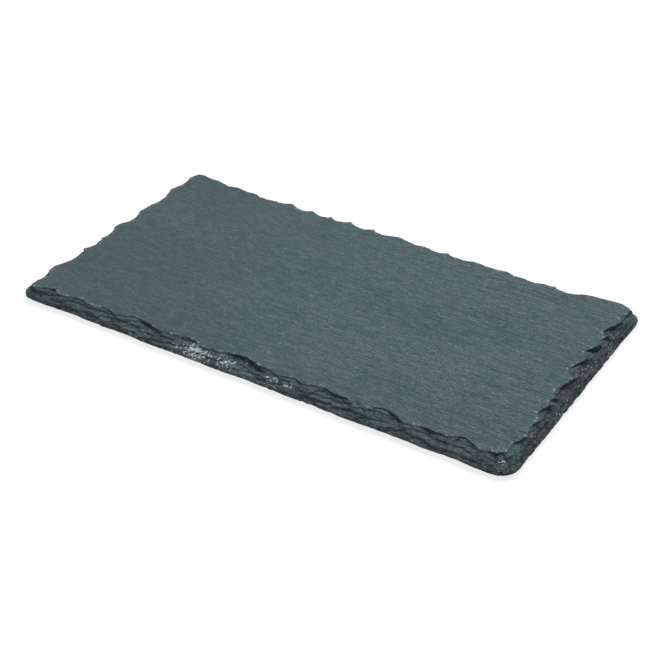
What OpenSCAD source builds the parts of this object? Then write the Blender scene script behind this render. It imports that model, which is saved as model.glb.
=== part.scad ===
// Slate serving board: one slab of split stone with hand-dressed edges,
// standing on four soft feet that are glued under its corners.
// Millimetres. The board stands on the plane z = 0, centred over the origin, with its length along X.

/* [Slate board] */
// Length over the lower edge
board_length = 250; // [160:1:400]
// Width over the lower edge
board_width = 137; // [90:0.5:240]
// Thickness of the stone
slate_thickness = 5.5; // [4:0.1:12]
// Radius of the knocked-off corners at the lower edge
corner_radius = 9; // [5:0.5:18]

/* [Dressed edge] */
// Run of the broken edge, from the lower edge in to the top rim, between two flakes
edge_run = 4.2; // [1:0.1:6]
// Depth of the deepest flake, measured in from that rim
flake_depth = 4.9; // [0:0.1:6.5]
// Length along the edge of half a common flake
flake_reach = 12; // [5:0.5:16]
// Height of the steep wall that a common flake leaves under the rim
wall_height = 1.15; // [0.4:0.05:1.3]
// How far the layers wander up and down along the edge
layer_wander = 0.25; // [0:0.05:0.35]
// How far the lower edge wavers in from a straight line
edge_waver = 0.5; // [0:0.05:1.5]
// How far the left lower edge bows in, because the board isn't cut quite square
edge_drift = 1.8; // [0:0.1:3]
// Depth of the fine roughness on the broken faces
grit_depth = 0.26; // [0:0.02:0.6]
// Seed of the fine roughness
grit_seed = 11; // [1:1:99]

/* [Feet] */
// Diameter of a foot
foot_diameter = 10; // [6:0.5:16]
// Height of a foot
foot_height = 1.5; // [1:0.1:6]
// Rounding of a foot's lower edge
foot_rounding = 0.5; // [0.2:0.1:0.9]
// Distance from the board's lower edge in to a foot's centre
foot_setback = 20; // [14:0.5:36]

/* [Adhesive] */
// Thickness of an adhesive disc
adhesive_thickness = 0.2; // [0.1:0.05:0.6]
// Margin that an adhesive disc leaves around it under the foot
adhesive_margin = 0.5; // [0.2:0.1:1.5]

/* [Hidden] */

// Facets of the turned feet and discs
turned_facets = 96;
// Columns of points along a long side and along a short side
long_columns = 150;
short_columns = 90;
columns = 2 * (long_columns + short_columns);

slate_colour = [0.34, 0.39, 0.41];
foot_colour = [0.12, 0.12, 0.13];
adhesive_colour = [0.78, 0.76, 0.70];

slate_bottom = foot_height + adhesive_thickness;
slate_top = slate_bottom + slate_thickness;

// The stone is broken a little over its thickness and then split flat at the top
split_overrun = slate_thickness / 4;

// The broken edge runs in further on some sides than on others. These and the rows below are
// for the front, right, rear and left, and then for the corner where each of these starts:
// shares of the edge run
side_run_shares = [0.91, 0.93, 0.92, 0.46];
corner_run_shares = [0.67, 1.35, 0.70, 0.65];
// Shares of the edge drift
side_drift_shares = [0.1, 0, 0.45, 1];
corner_drift_shares = [-0.45, -0.2, -0.2, 0.05];
// The stretch of a side, at each end, over which its values blend into the corner's
corner_blend_share = 0.12;

// The untouched stone starts behind the deepest point that a flake can reach
core_inset = edge_run * max([each side_run_shares, each corner_run_shares])
    + edge_drift * max(side_drift_shares)
    + flake_depth + edge_waver + 2 * grit_depth + corner_radius / 4;
core_radius = corner_radius / 4;

// Heights of the broken face, as shares of the thickness. Each close pair is the
// front and the back of a ledge, where one layer of the stone ends.
height_shares = [0, 0.09, 0.16, 0.34, 0.41, 0.60, 0.67, 0.84, 1];
// The heights at which an even face has come in as far as the stepped one has there:
// they lag on a ledge's front and lead on its back
even_height_shares = [0, 0.03, 0.20, 0.26, 0.46, 0.52, 0.72, 0.80, 1];
// The layer of the stone that each height belongs to
height_layers = [0, 1, 1, 2, 2, 3, 3, 4, 4];
// How much each height wanders, as a share of the layers' wander
wander_shares = [0, 0.4, 0.4, 1, 1, 1, 1, 0.6, 0];
// How rough each height is, as a share of the grit depth
rough_shares = [0.3, 0.3, 1, 1, 1, 1, 1, 1, 1];

// How far the underside's edge lies behind the lower edge, as a share of the edge run
under_run_share = 0.05;
// Up to this share of the thickness the plain broken face stands upright
upright_share = 0.16;
// How the plain face rises from there: below 1 it is hollow, above 1 it bulges
side_plain_powers = [1.33, 1.33, 0.71, 0.71];
corner_plain_powers = [1, 1.33, 1, 0.71];

// The same for the ledge that a flake leaves between its floor and the wall under the rim
side_ledge_powers = [1.54, 2, 0.74, 0.5];
// How sharply a flake's line at the rim is curved: 2 is round, 1 is a straight-sided notch
side_arc_powers = [1.6, 1.25, 1.6, 1.6];
// Floors of the flakes, as shares of those in the rows below
side_floor_shares = [0.7, 0.7, 0.35, 0.35];
// The wall under the rim starts to grow this far behind a flake's place, in shares of its
// reach behind, and is full this far ahead, in shares of its reach ahead
side_growth_shares = [1, 0, 3, 3];
growth_end_share = 0.5;
// No wall is taller than this share of the thickness
tallest_wall_share = 0.6;

// Flakes knocked off each side, walking round the board against the clock from the front left
// corner. Each row is [place along the side, reach behind it, reach ahead of it, depth, floor,
// wall]: shares of the side, of the flake reach (twice), of the flake depth, of the thickness
// and of the wall height.
front_flake_shares = [
    [0.050, 0.60, 0.30, 0.50, 0.30, 0.7],
    [0.113, 0.60, 0.50, 0.40, 0.55, 0.8],
    [0.145, 1.40, 1.30, 0.22, 0.10, 0.3],
    [0.169, 0.55, 0.70, 0.54, 0.34, 0.7],
    [0.253, 0.90, 0.75, 0.62, 0.30, 1.0],
    [0.316, 0.45, 0.50, 0.44, 0.55, 0.3],
    [0.345, 1.20, 1.20, 0.30, 0.10, 0.3],
    [0.367, 0.75, 0.70, 0.56, 0.30, 0.5],
    [0.422, 0.40, 0.50, 0.30, 0.55, 0.5],
    [0.475, 1.00, 1.10, 0.86, 0.22, 0.9],
    [0.528, 0.50, 0.50, 0.42, 0.13, 1.0],
    [0.585, 0.60, 0.48, 0.46, 0.45, 0.8],
    [0.645, 0.80, 1.00, 0.66, 0.50, 0.7],
    [0.670, 1.60, 1.50, 0.46, 0.16, 1.0],
    [0.719, 0.35, 0.50, 0.52, 0.55, 1.0],
    [0.772, 0.70, 0.85, 0.84, 0.26, 0.9],
    [0.857, 0.80, 0.60, 0.46, 0.45, 0.7],
    [0.875, 1.50, 1.10, 0.36, 0.12, 0.5],
    [0.921, 0.60, 0.65, 0.84, 0.20, 0.8],
    [0.979, 0.50, 0.80, 0.92, 0.20, 0.9]
];
right_flake_shares = [
    [0.071, 0.60, 0.80, 0.44, 0.38, 1.7],
    [0.182, 0.45, 0.60, 0.36, 0.34, 1.7],
    [0.227, 1.20, 1.20, 0.26, 0.10, 0.7],
    [0.267, 0.48, 0.80, 0.60, 0.34, 2.1],
    [0.342, 0.45, 0.60, 0.48, 0.40, 1.8],
    [0.410, 0.50, 1.20, 0.72, 0.34, 2.4],
    [0.546, 0.50, 1.10, 0.96, 0.38, 2.5],
    [0.599, 1.20, 1.60, 0.36, 0.10, 0.7],
    [0.662, 0.40, 0.90, 0.94, 0.34, 2.5],
    [0.740, 0.40, 0.70, 0.50, 0.34, 2.0],
    [0.816, 0.40, 0.90, 0.76, 0.40, 2.4],
    [0.927, 0.50, 0.70, 0.42, 0.34, 1.6]
];
rear_flake_shares = [
    [0.122, 0.60, 0.80, 0.67, 0.38, 0.8],
    [0.165, 1.50, 1.20, 0.30, 0.13, 0.5],
    [0.212, 0.95, 0.95, 0.84, 0.50, 0.8],
    [0.285, 1.10, 1.10, 0.38, 0.38, 0.6],
    [0.354, 0.75, 0.65, 0.67, 0.38, 0.9],
    [0.407, 0.70, 0.70, 0.67, 0.50, 0.7],
    [0.445, 1.20, 1.50, 0.34, 0.13, 0.5],
    [0.460, 0.70, 0.70, 0.50, 0.38, 0.8],
    [0.529, 0.80, 0.60, 0.62, 0.38, 0.9],
    [0.578, 0.60, 0.70, 0.64, 0.50, 0.7],
    [0.635, 0.60, 0.55, 0.70, 0.38, 0.9],
    [0.676, 0.55, 0.60, 0.66, 0.13, 0.8],
    [0.725, 0.60, 0.50, 0.66, 0.50, 0.7],
    [0.798, 1.10, 1.20, 0.90, 0.38, 1.0],
    [0.855, 1.40, 1.50, 0.34, 0.13, 0.5],
    [0.912, 0.70, 0.80, 0.53, 0.50, 0.8]
];
left_flake_shares = [
    [0.034, 0.60, 0.50, 0.40, 0.38, 0.8],
    [0.085, 0.80, 0.90, 0.56, 0.50, 0.7],
    [0.244, 0.90, 0.90, 0.66, 0.38, 0.9],
    [0.302, 1.30, 1.40, 0.36, 0.13, 0.5],
    [0.439, 0.90, 0.65, 0.72, 0.38, 0.9],
    [0.575, 0.65, 0.90, 0.66, 0.50, 0.8],
    [0.639, 1.30, 1.20, 0.36, 0.13, 0.5],
    [0.659, 0.70, 0.70, 0.74, 0.38, 0.9],
    [0.773, 0.80, 0.90, 0.86, 0.50, 1.0],
    [0.947, 0.60, 0.60, 0.62, 0.38, 0.8]
];
side_flake_shares = [
    front_flake_shares, right_flake_shares, rear_flake_shares, left_flake_shares
];

// Sides are numbered from the front against the clock: even ones are long, odd ones short
function is_long(side) = side % 2 == 0;
function half_along(side) = (is_long(side) ? board_length : board_width) / 2;
function half_across(side) = (is_long(side) ? board_width : board_length) / 2;
function side_columns(side) = is_long(side) ? long_columns : short_columns;

// A side runs from the middle of one rounded corner to the middle of the next
half_corner = corner_radius * PI / 4;
function side_run(side) = 2 * (half_along(side) - corner_radius + half_corner);
function side_start(side) = side == 0 ? 0 : side_start(side - 1) + side_run(side - 1);
perimeter = side_start(3) + side_run(3);

// Signed distance along the edge between two places on the closed perimeter
function around(a, b) = let (gap = a - b) gap - perimeter * round(gap / perimeter);

// All flakes as [place on the perimeter, reach behind, reach ahead, depth, floor, wall, side]
flakes = [
    for (side = [0 : 3])
        for (row = side_flake_shares[side])
            [
                side_start(side) + row[0] * side_run(side),
                row[1] * flake_reach,
                row[2] * flake_reach,
                row[3] * flake_depth,
                row[4] * side_floor_shares[side],
                min(row[5] * wall_height / slate_thickness, tallest_wall_share),
                side
            ]
];

function smooth_step(t) = let (u = min(max(t, 0), 1)) u * u * (3 - 2 * u);

// A flake is hollow like a shell: deepest at its place, with a sharp end on each side
function flake_cut(flake, gap) =
    let (spot = abs(gap) / (gap < 0 ? flake[1] : flake[2]))
    flake[3] * (1 - pow(spot, side_arc_powers[flake[6]]));

// The wall under the rim grows along a flake from a feathered end to its full height
function wall_foot(flake, gap) =
    let (
        start = side_growth_shares[flake[6]] * flake[1],
        end = growth_end_share * flake[2]
    )
    1 - flake[5] * smooth_step((gap + start) / (start + end));

// How far a face has come in at a height, as a share of where it ends
function come_in(height, floor, end, power) =
    pow(min(max((height - floor) / (end - floor), 0), 1), power);

// Inset of the face that a flake leaves, where the plain face would end at plain_rim
function flake_inset(flake, gap, plain_rim, height) =
    (plain_rim + flake_cut(flake, gap))
        * come_in(height, flake[4], wall_foot(flake, gap), side_ledge_powers[flake[6]]);

// Slow waves along the edge, which close on themselves round the perimeter
function wave(place, turns, start) = sin(360 * turns * place / perimeter + start);
function layer_wave(place, layer) =
    (wave(place, 13, 50 * layer) + wave(place, 29, 110 * layer)) / 2;
// The lower edge's waver, from 0 to 1
function waver(place) =
    (2 + wave(place, 7, 40) + wave(place, 23, 170)) / 4;

// Along the end of a side, a value blends into that of the corner there
function blended(side_values, corner_values, side, place) =
    let (
        spot = place / side_run(side),
        corner = spot < 0.5 ? side : (side + 1) % 4,
        blend = smooth_step(1 - min(spot, 1 - spot) / corner_blend_share)
    )
    side_values[side] * (1 - blend) + corner_values[corner] * blend;

grit = rands(0, 1, columns * len(height_shares), grit_seed);

// Outline of a side at a place, for any size of rounded rectangle: [along, outward]
function turn_at(side, place) =
    (min(place, half_corner) - half_corner + max(place - side_run(side) + half_corner, 0))
        / corner_radius * 180 / PI;
function straight_share(side, place) =
    min(max((place - half_corner) / (side_run(side) - 2 * half_corner), 0), 1);
function outline(side, place, inset, radius) =
    let (
        along = half_along(side) - inset - radius,
        across = half_across(side) - inset - radius,
        turn = turn_at(side, place)
    )
    [
        along * (2 * straight_share(side, place) - 1) + radius * sin(turn),
        -across - radius * cos(turn)
    ];

// A point of the broken face lies between the lower edge's outline and the untouched core's
function edge_point(side, place, inset, z) =
    let (
        outer = outline(side, place, 0, corner_radius),
        inner = outline(side, place, core_inset, core_radius),
        spot = outer + (inner - outer) * inset / core_inset,
        turn = 90 * side
    )
    [
        spot[0] * cos(turn) - spot[1] * sin(turn),
        spot[0] * sin(turn) + spot[1] * cos(turn),
        z
    ];

// Every column as [side, place along the side, place on the perimeter]
column_places = [
    for (side = [0 : 3])
        for (i = [0 : side_columns(side) - 1])
            let (place = i / side_columns(side) * side_run(side))
            [side, place, side_start(side) + place]
];

// The flakes that reach each column, as [flake, distance past its place]
column_flakes = [
    for (spot = column_places)
        [
            for (flake = flakes)
                let (gap = around(spot[2], flake[0]))
                if (gap > -flake[1] && gap < flake[2]) [flake, gap]
        ]
];

// For each column, the insets of the lower edge and of the plain rim, and the plain power.
// The lower edge stays inside the board's length and width.
column_lines = [
    for (spot = column_places)
        let (
            drift = blended(side_drift_shares, corner_drift_shares, spot[0], spot[1]),
            run = blended(side_run_shares, corner_run_shares, spot[0], spot[1]),
            lower = max(edge_waver * waver(spot[2]) + edge_drift * drift, 0)
        )
        [
            lower,
            lower + edge_run * run,
            blended(side_plain_powers, corner_plain_powers, spot[0], spot[1])
        ]
];

function face_inset(column, level) =
    let (
        line = column_lines[column],
        height = even_height_shares[level],
        plain = line[0]
            + (line[1] - line[0]) * come_in(height, upright_share, 1, line[2]),
        cuts = [
            for (near = column_flakes[column])
                flake_inset(near[0], near[1], line[1], height)
        ],
        under = level == 0 ? under_run_share * edge_run : 0,
        rough = grit_depth * rough_shares[level] * grit[level * columns + column]
    )
    max([plain, each cuts]) + under + rough;

function face_height(column, level) =
    slate_bottom + slate_thickness * height_shares[level]
        + layer_wander * wander_shares[level]
            * layer_wave(column_places[column][2], height_layers[level]);

function ring(level, z_shift = 0) = [
    for (column = [0 : columns - 1])
        edge_point(
            column_places[column][0], column_places[column][1],
            face_inset(column, level), face_height(column, level) + z_shift
        )
];
function core_ring(z) = [
    for (spot = column_places) edge_point(spot[0], spot[1], core_inset, z)
];

// The stone before its top is split flat: rings of points from the core's lower
// outline, out over the broken edge and in again to the core's upper outline
module broken_stone() {
    last = len(height_shares) - 1;
    rings = [
        core_ring(slate_bottom),
        for (level = [0 : last]) ring(level),
        ring(last, split_overrun),
        core_ring(slate_top + split_overrun)
    ];
    bands = len(rings) - 1;
    sides = [
        for (band = [0 : bands - 1])
            for (i = [0 : columns - 1])
                let (
                    a = band * columns + i,
                    b = band * columns + (i + 1) % columns,
                    c = b + columns,
                    d = a + columns
                )
                each [[a, d, c], [a, c, b]]
    ];
    floor_face = [for (i = [0 : columns - 1]) i];
    top_face = [for (i = [columns - 1 : -1 : 0]) bands * columns + i];
    polyhedron([for (r = rings) each r], [each sides, floor_face, top_face]);
}

module slate_slab() {
    color(slate_colour)
        difference() {
            broken_stone();
            translate([-board_length, -board_width, slate_top])
                cube([2 * board_length, 2 * board_width, slate_thickness]);
        }
}

// Feet and adhesive discs stand at one place under each corner
foot_x = board_length / 2 - foot_setback;
foot_y = board_width / 2 - foot_setback;

module foot(x_side, y_side) {
    flat_radius = foot_diameter / 2 - foot_rounding;
    color(foot_colour)
        translate([x_side * foot_x, y_side * foot_y, 0])
            rotate_extrude($fn = turned_facets) {
                square([flat_radius, foot_height]);
                translate([0, foot_rounding])
                    square([foot_diameter / 2, foot_height - foot_rounding]);
                intersection() {
                    translate([flat_radius, foot_rounding])
                        circle(r = foot_rounding, $fn = turned_facets);
                    square([foot_diameter / 2, foot_rounding]);
                }
            }
}

module adhesive(x_side, y_side) {
    color(adhesive_colour)
        translate([x_side * foot_x, y_side * foot_y, foot_height])
            cylinder(
                h = adhesive_thickness, d = foot_diameter - 2 * adhesive_margin,
                $fn = turned_facets
            );
}

slate_slab();
foot(-1, -1);  // foot_front_left
foot(1, -1);  // foot_front_right
foot(-1, 1);  // foot_rear_left
foot(1, 1);  // foot_rear_right
adhesive(-1, -1);  // adhesive_front_left
adhesive(1, -1);  // adhesive_front_right
adhesive(-1, 1);  // adhesive_rear_left
adhesive(1, 1);  // adhesive_rear_right
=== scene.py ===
import math
from collections import namedtuple
import bpy
import numpy as np
from mathutils import Matrix, Vector
from mathutils.geometry import delaunay_2d_cdt


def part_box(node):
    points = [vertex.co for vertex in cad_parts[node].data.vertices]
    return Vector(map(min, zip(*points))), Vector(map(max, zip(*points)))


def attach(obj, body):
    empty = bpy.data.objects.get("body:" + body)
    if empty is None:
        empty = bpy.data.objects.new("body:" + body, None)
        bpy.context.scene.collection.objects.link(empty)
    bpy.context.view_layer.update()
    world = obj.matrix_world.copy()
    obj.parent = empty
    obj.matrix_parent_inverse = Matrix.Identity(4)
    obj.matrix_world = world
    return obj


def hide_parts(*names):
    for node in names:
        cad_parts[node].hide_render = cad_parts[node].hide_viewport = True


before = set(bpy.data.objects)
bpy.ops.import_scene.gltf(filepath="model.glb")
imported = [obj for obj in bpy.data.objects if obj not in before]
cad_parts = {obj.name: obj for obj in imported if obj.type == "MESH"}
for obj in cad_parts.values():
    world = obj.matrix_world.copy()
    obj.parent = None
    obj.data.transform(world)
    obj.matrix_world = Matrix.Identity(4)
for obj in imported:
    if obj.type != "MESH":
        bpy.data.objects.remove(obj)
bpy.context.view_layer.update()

# Slate serving board. The stone is worked out in millimetres, and all else in metres.
MM = 0.001
slab_low, slab_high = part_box("slate_slab")

# The stone's sizes
LENGTH = 250.0
WIDTH = 137.0
THICK = (slab_high.z - slab_low.z) / MM
CORNER = 10.0  # radius of the knocked-off corners at the lower edge
CORE_INSET = 14.0  # the untouched stone starts this far in from the lower edge
CORE_RADIUS = 2.5
EDGE_RUN = 4.2  # run of the broken edge where no flake was knocked off
RIM_SETBACK = 0.13  # a little more of it, the same all round
WAVER = 0.5  # how far the lower edge wavers in from a straight line
FLAKE_DEPTH = 4.9  # deepest flake, measured in from the plain rim
FLAKE_REACH = 12.0  # half the length of a common flake
LIP = 1.15  # common height of the wall under the rim
WALL_WIDTH = 0.22  # the wall under the rim leans back this much
LAYERS = np.array([0.0, 0.7, 1.3, 2.3, 2.8, 3.9, 4.5, THICK])  # where layers of the stone end
FACE_LOW = 0.25  # the broken face keeps this far above the underside
FACE_START_LOW = 0.3  # and this far at the lower edge
FACE_HIGH = 0.03  # and this far below the top

# The four sides, against the clock
FRONT, RIGHT, REAR, LEFT = range(4)

# Values for the front, right, rear and left side, then for the corner where each starts
RUN_SHARES = ((0.91, 0.93, 0.92, 0.46), (0.67, 1.35, 0.70, 0.65))
DRIFTS = ((0.2, 0.0, 0.8, 1.8), (-0.75, -0.4, -0.4, 0.1))  # the board isn't quite square
SLANTS = ((-1.0, 1.4, -1.0, 1.0), (0.0, 0.0, 0.0, 0.0))  # which way the chips lean
ROUGHNESS = ((0.95, 0.85, 1.0, 1.0), (1.0, 0.8, 0.8, 1.0))
SIDE_PAINTED_LIGHT = ((1.1, 0.87, 0.95, 0.95), (0.9, 1.0, 0.92, 0.95))  # painted light and shade: how light each side's broken stone is painted, for how light falls on it
STEEP_PAINTED_SHADES = ((0.45, 0.6, 0.4, 0.4), (0.4, 0.5, 0.5, 0.4))  # how dark the painted shade on its steep bits is
SHADOW_PATCH_SHARES = ((0.85, 0.75, 0.6, 0.6), (0.6, 0.8, 0.6, 0.6))  # patches of painted shadow below the rim
SHADOW_PATCH_REACHES = ((1.0, 1.7, 0.9, 0.9), (0.9, 1.3, 1.3, 0.9))
SHADOW_PATCH_MARKS = ((1, 1, 0.4, 0.4), (0.8, 0.9, 0.7, 0.4))
GRAINY_SHARES = ((0, 1, 0, 0), (0, 0.4, 0, 0))  # grainy stone on the right
CORNER_BLEND = 0.12  # end stretch of a side that blends into its corner

# Values for the four sides without blending
PLAIN_POWERS = (0.75, 0.75, 1.4, 1.4)  # below 1 the plain face bulges, above 1 it is hollow
LEDGE_POWERS = (0.65, 0.5, 1.35, 2.0)  # below 1 the ledges are flat near the rim
ARC_POWERS = (1.6, 1.25, 1.6, 1.6)  # the lower, the more pointed is a flake's line
FLOOR_SHARES = (0.7, 0.7, 0.35, 0.35)  # how high the flakes' floors lie

# Main flakes, against the clock from the front left corner: place along the side, reach behind,
# reach ahead, depth, height of its floor, lip (shares)
FLAKE_SHARES = (
    ((0.05, 0.65, 0.35, 0.66, 0.3, 1.4), (0.113, 0.6, 0.5, 0.4, 0.55, 0.8),
     (0.145, 1.4, 1.3, 0.1, 0.1, 0.3), (0.172, 0.45, 0.7, 0.46, 0.34, 0.9),
     (0.24, 0.8, 1.5, 0.74, 0.3, 1.1), (0.316, 0.45, 0.5, 0.44, 0.55, 0.3),
     (0.345, 1.2, 1.2, 0.3, 0.1, 0.3), (0.367, 0.75, 0.7, 0.56, 0.3, 0.5),
     (0.422, 0.4, 0.5, 0.3, 0.55, 0.5), (0.475, 1.0, 1.1, 0.86, 0.22, 1.5),
     (0.528, 0.5, 0.5, 0.42, 0.13, 1.3), (0.585, 0.6, 0.48, 0.46, 0.45, 0.8),
     (0.645, 0.8, 1.0, 0.66, 0.5, 1.1), (0.67, 1.6, 1.5, 0.46, 0.16, 1.4),
     (0.719, 0.35, 0.5, 0.52, 0.55, 1.3), (0.772, 0.7, 0.85, 0.84, 0.26, 1.6),
     (0.857, 0.8, 0.6, 0.46, 0.45, 1.1), (0.875, 1.5, 1.1, 0.36, 0.12, 0.5),
     (0.921, 0.6, 0.65, 0.84, 0.2, 1.4), (0.979, 0.5, 0.8, 0.22, 0.45, 1.2)),
    ((0.071, 0.6, 0.8, 0.44, 0.38, 1.4), (0.182, 0.45, 0.6, 0.36, 0.34, 1.4),
     (0.227, 1.2, 1.2, 0.26, 0.1, 0.6), (0.267, 0.48, 0.8, 0.6, 0.34, 1.7),
     (0.342, 0.45, 0.6, 0.48, 0.4, 1.4), (0.41, 0.5, 1.2, 0.72, 0.34, 1.9),
     (0.546, 0.5, 1.1, 0.96, 0.38, 2.0), (0.599, 1.2, 1.6, 0.36, 0.1, 0.6),
     (0.662, 0.4, 0.9, 0.94, 0.34, 2.0), (0.74, 0.4, 0.7, 0.5, 0.34, 1.6),
     (0.816, 0.4, 0.9, 0.76, 0.4, 1.9), (0.927, 0.5, 0.7, 0.42, 0.34, 1.3)),
    ((0.122, 0.6, 0.8, 0.67, 0.38, 0.8), (0.165, 1.5, 1.2, 0.3, 0.13, 0.5),
     (0.212, 0.95, 0.95, 0.84, 0.5, 0.8), (0.285, 1.1, 1.1, 0.38, 0.38, 0.6),
     (0.354, 0.75, 0.65, 0.67, 0.38, 0.9), (0.407, 0.7, 0.7, 0.67, 0.5, 0.7),
     (0.445, 1.2, 1.5, 0.34, 0.13, 0.5), (0.46, 0.7, 0.7, 0.5, 0.38, 0.8),
     (0.529, 0.8, 0.6, 0.62, 0.38, 0.9), (0.578, 0.6, 0.7, 0.64, 0.5, 0.7),
     (0.635, 0.6, 0.55, 0.7, 0.38, 0.9), (0.676, 0.55, 0.6, 0.66, 0.13, 0.8),
     (0.725, 0.6, 0.5, 0.66, 0.5, 0.7), (0.798, 1.1, 1.2, 0.9, 0.38, 1.0),
     (0.855, 1.4, 1.5, 0.34, 0.13, 0.5), (0.912, 0.7, 0.8, 0.53, 0.5, 0.8),
     (0.953, 0.9, 0.85, 0.36, 0.5, 0.8)),
    ((0.034, 0.6, 0.5, 0.4, 0.38, 0.8), (0.085, 0.8, 0.9, 0.56, 0.5, 0.7),
     (0.244, 0.9, 0.9, 0.66, 0.38, 0.9), (0.302, 1.3, 1.4, 0.36, 0.13, 0.5),
     (0.439, 0.9, 0.65, 0.72, 0.38, 0.9), (0.575, 0.65, 0.9, 0.66, 0.5, 0.8),
     (0.639, 1.3, 1.2, 0.36, 0.13, 0.5), (0.659, 0.7, 0.7, 0.74, 0.38, 0.9),
     (0.773, 0.8, 0.9, 0.86, 0.5, 1.0), (0.947, 0.6, 0.6, 0.62, 0.38, 0.8)),
)

# Edge lines. A wave is its length and height; bites are their number, reaches and depths.
WAVER_WAVES = ((7, 40), (23, 170))  # turns round the board, and start in degrees
LOWER_WAVES = ((1.6, 0.08),)
LOWER_BITES = (170, (1.0, 4.5), (0.05, 0.4))
RIM_BITES = (230, (0.8, 3.4), (0.1, 0.5))
RIM_WAVES = ((1.3, 0.09), (5.0, 0.14))
WANDER_WAVES = ((9, 0.9), (3.5, 0.45))  # the flakes' places wander along the edge
LOWER_SHIFT = 0.1  # the wavering lower edge is moved out by this before its bites
LEAST_INSET = 0.1  # it keeps this far inside the plain outline,
CORNER_BULGE = 1.2  # and round the corners it may stand out by this much more
CORNER_BULGE_SHARE = 0.75
BITE_BEHIND_SHARE = 0.6

# Walls of the flakes: wedges on the right, feathered on the front, arcs elsewhere
WEDGE_RISE_SHARE, WEDGE_POWER, WEDGE_SHARE = 0.62, 1.1, 1.12
WEDGE_FALL_SHARES, WEDGE_END_SHARE = (0.6, 0.4), 0.5
FEATHER_BEHIND_SHARE, FEATHER_AHEAD_SHARE = 0.8, 0.5
FEATHER_SHARE, FRONT_SHARE = 0.05, 1.15
REAR_SHARE, REAR_ARC_SHARE = 0.8, 0.5

# Relief of the broken face. A noise's size is its length along the edge and its width.
FACE_WARP, FACE_WARP_SIZE, FACE_WARP_RUN = 0.35, (6, 2.4), 1.2
FLAKE_RISE_RUN = 0.2  # a flake's face ends over this run behind its line
FACE_START = 0.9  # common height of the plain face at the lower edge
FACE_START_WAVES = ((9, 0.45), (2.5, 0.25))
UNEVEN = 0.62  # common share of a front wall's height, and its least and most
UNEVEN_WAVES = ((6, 0.65), (1.6, 0.25))
UNEVEN_RANGE = (0.08, 1.4)
LEDGE_POWER = 4.5  # how sharply a ledge turns up into its riser
LEDGE_SHIFT, LEDGE_SHIFT_SIZE = 0.35, (26, 30)  # the layers rise and fall along the edge
LEDGE_SHARE, LEDGE_SWING, LEDGE_MOST, LEDGE_SIZE = 0.35, 0.75, 0.85, (9, 1.7)
LEDGE_END_RUN = 0.8  # the ledges fade out over this run at the rim
JUST_BELOW = 0.001  # keeps a height below the last layer's end
CELL_JITTER = (0.1, 0.9)
CHIP_WARP_ALONG, CHIP_WARP_ALONG_SIZE = 0.5, (1.8, 0.9)  # waves in the chips' outlines
CHIP_WARP_ACROSS, CHIP_WARP_ACROSS_SIZE = 0.22, (1.6, 0.8)
LARGE_CHIPS = dict(length=6.5, width=2.2, slant=1.5, follow=0.55, jump=0.17, lean=0.07)
SMALL_CHIPS = dict(length=2.3, width=0.8, slant=1.0, follow=0.5, jump=0.12, lean=0.16)
LARGE_CHIP_DOWN, LARGE_CHIP_UP = 0.5, 0.3  # the furthest that a chip may move the face
SMALL_CHIP_DOWN, SMALL_CHIP_UP = 0.3, 0.2
CALM_HIGH_SHARE, CALM_HIGH_RAMP = 0.7, (1.0, 3.0)  # small chips are weaker high up
ROUGH_WAVE, ROUGH_SIZE, ROUGH_GRAIN = 0.05, (1.1, 0.6), 0.035
RAGGED = 0.05  # unevenness of the wall and of the ring at the lower edge

# Points of the mesh
PITCH = 0.42  # spacing of the columns round the edge
TURN_INSETS = (0.32, 0.1, 0.02)  # rings that turn from the underside to the face
TURN_HEIGHTS = (0.0, 0.02, 0.22)
TURN_RINGS = len(TURN_INSETS)
FACE_RINGS = 34  # rings over the broken face, below the wall under the rim
WALL_RINGS = 4  # rings of that wall, the rim among them
RIM_RING = TURN_RINGS + FACE_RINGS + WALL_RINGS - 1
BAND_START = 0.4  # first ring of the top behind the rim
BAND_SHARES = (0.22, 0.42, 0.62, 0.82, 1.0)  # further rings, from there to the core
BAND_STEP = 2  # they have every second column
TOP_PITCH = 1.6  # spacing of the points on the split top
TOP_REACH = -0.9  # their grid ends this far inside the core
UNDER_RINGS = ((5.0, 4), (9.5, 5), (CORE_INSET, 5))  # inset, and every how many columns
UNDER_PITCH = 2.6
UNDER_REACH = -2
FOOT_CLEAR = 7  # the underside is flat this far round the middle of a foot
FOOT_FADE = 9  # and rises to its full relief over this much more
GRID_JITTER = 0.22  # share of the spacing by which a point may be off its place
FILL_INSIDE, FILL_GAP = 1, 1e-7  # inside the border only; points this near are one

# Relief of the split faces: height, length along X and width along Y of each noise
TOP_LOW = 0.068  # the top lies this far below its highest plane on average
TOP_WAVES, TOP_RIBS, TOP_FINE = (0.035, 46, 15), (0.02, 24, 3.4), (0.012, 11, 2.2)
RIB_BEND, RIB_BEND_RUN = 4, 9  # the ribs bend along X by this much, over this run of Y
RIB_TURN, FINE_TURN = 0.02, -0.03  # their small turns in plan
UNDER_RISE = 0.16
UNDER_WAVES, UNDER_RIBS = (0.1, 38, 16), (0.05, 17, 6)
SEED = 20

rng = np.random.default_rng(SEED)


# Outline of the board
def half(side):
    """Half the length of a side."""
    return (LENGTH if side in (FRONT, REAR) else WIDTH) / 2


HALF_CORNER = CORNER * math.pi / 4
RUNS = [2 * (half(side) - CORNER + HALF_CORNER) for side in range(4)]
STARTS = [sum(RUNS[:side]) for side in range(4)]
PERIMETER = sum(RUNS)


def outline(side, place, inset, radius):
    """Points of one side of a rounded rectangle, seen with that side in front."""
    along = half(side) - inset - radius
    across = half((side + 1) % 4) - inset - radius
    before = np.minimum(place, HALF_CORNER) - HALF_CORNER
    after = np.maximum(place - RUNS[side] + HALF_CORNER, 0)
    turn = (before + after) / CORNER
    share = np.clip((place - HALF_CORNER) / (RUNS[side] - 2 * HALF_CORNER), 0, 1)
    return np.stack([along * (2 * share - 1) + radius * np.sin(turn),
                     -across - radius * np.cos(turn)], axis=-1)


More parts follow.
